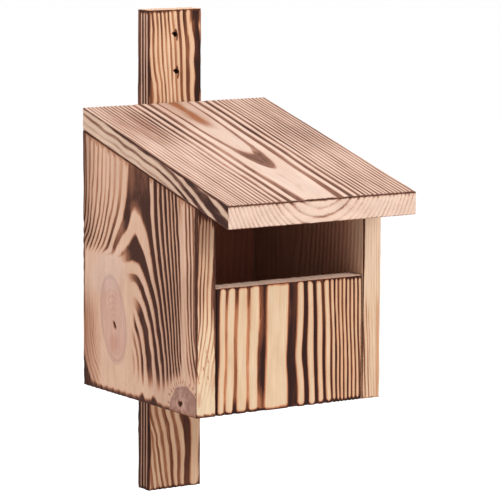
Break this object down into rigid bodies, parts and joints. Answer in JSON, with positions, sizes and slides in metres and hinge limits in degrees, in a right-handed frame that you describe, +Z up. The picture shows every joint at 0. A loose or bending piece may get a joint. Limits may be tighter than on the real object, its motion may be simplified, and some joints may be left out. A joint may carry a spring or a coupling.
{
  "type": "half-open nest box",
  "caption": "Open-fronted wooden nest box with a sloping overhanging roof, a low front board and a long rear batten for fixing it to a tree or wall.",
  "frame": {"origin": "on the mounting batten's rear face, which lies against the tree or wall, halfway up it and in the box's middle plane", "axes": "+Z up along the batten, +Y into the wall, the entrance looks along -Y, +X to the right seen from the front"},
  "size_m": [0.178, 0.2393, 0.406],
  "materials": {
    "flamed_fir": "flamed and wire-brushed, matt",
    "charred_fir": "strongly flamed and wire-brushed, matt",
    "bright_steel": "bright drawn wire, scorched at the heads"
  },
  "bodies": {
    "root": {"left_side_panel": "flamed_fir", "right_side_panel": "flamed_fir", "front_board": "flamed_fir", "roof_board": "flamed_fir", "back_panel": "charred_fir", "floor_board": "charred_fir", "mounting_batten": "charred_fir", "left_back_nail_1": "bright_steel", "left_back_nail_2": "bright_steel", "left_back_nail_3": "bright_steel", "left_front_nail_1": "bright_steel", "left_front_nail_2": "bright_steel", "left_floor_nail_1": "bright_steel", "left_floor_nail_2": "bright_steel", "right_back_nail_1": "bright_steel", "right_back_nail_2": "bright_steel", "right_back_nail_3": "bright_steel", "right_front_nail_1": "bright_steel", "right_front_nail_2": "bright_steel", "right_floor_nail_1": "bright_steel", "right_floor_nail_2": "bright_steel", "roof_left_nail_1": "bright_steel", "roof_left_nail_2": "bright_steel", "roof_left_nail_3": "bright_steel", "roof_right_nail_1": "bright_steel", "roof_right_nail_2": "bright_steel", "roof_right_nail_3": "bright_steel", "roof_back_nail_1": "bright_steel", "roof_back_nail_2": "bright_steel", "batten_screw_1": "bright_steel", "batten_screw_2": "bright_steel", "batten_screw_3": "bright_steel", "batten_screw_4": "bright_steel"}
  },
  "joints": []
}
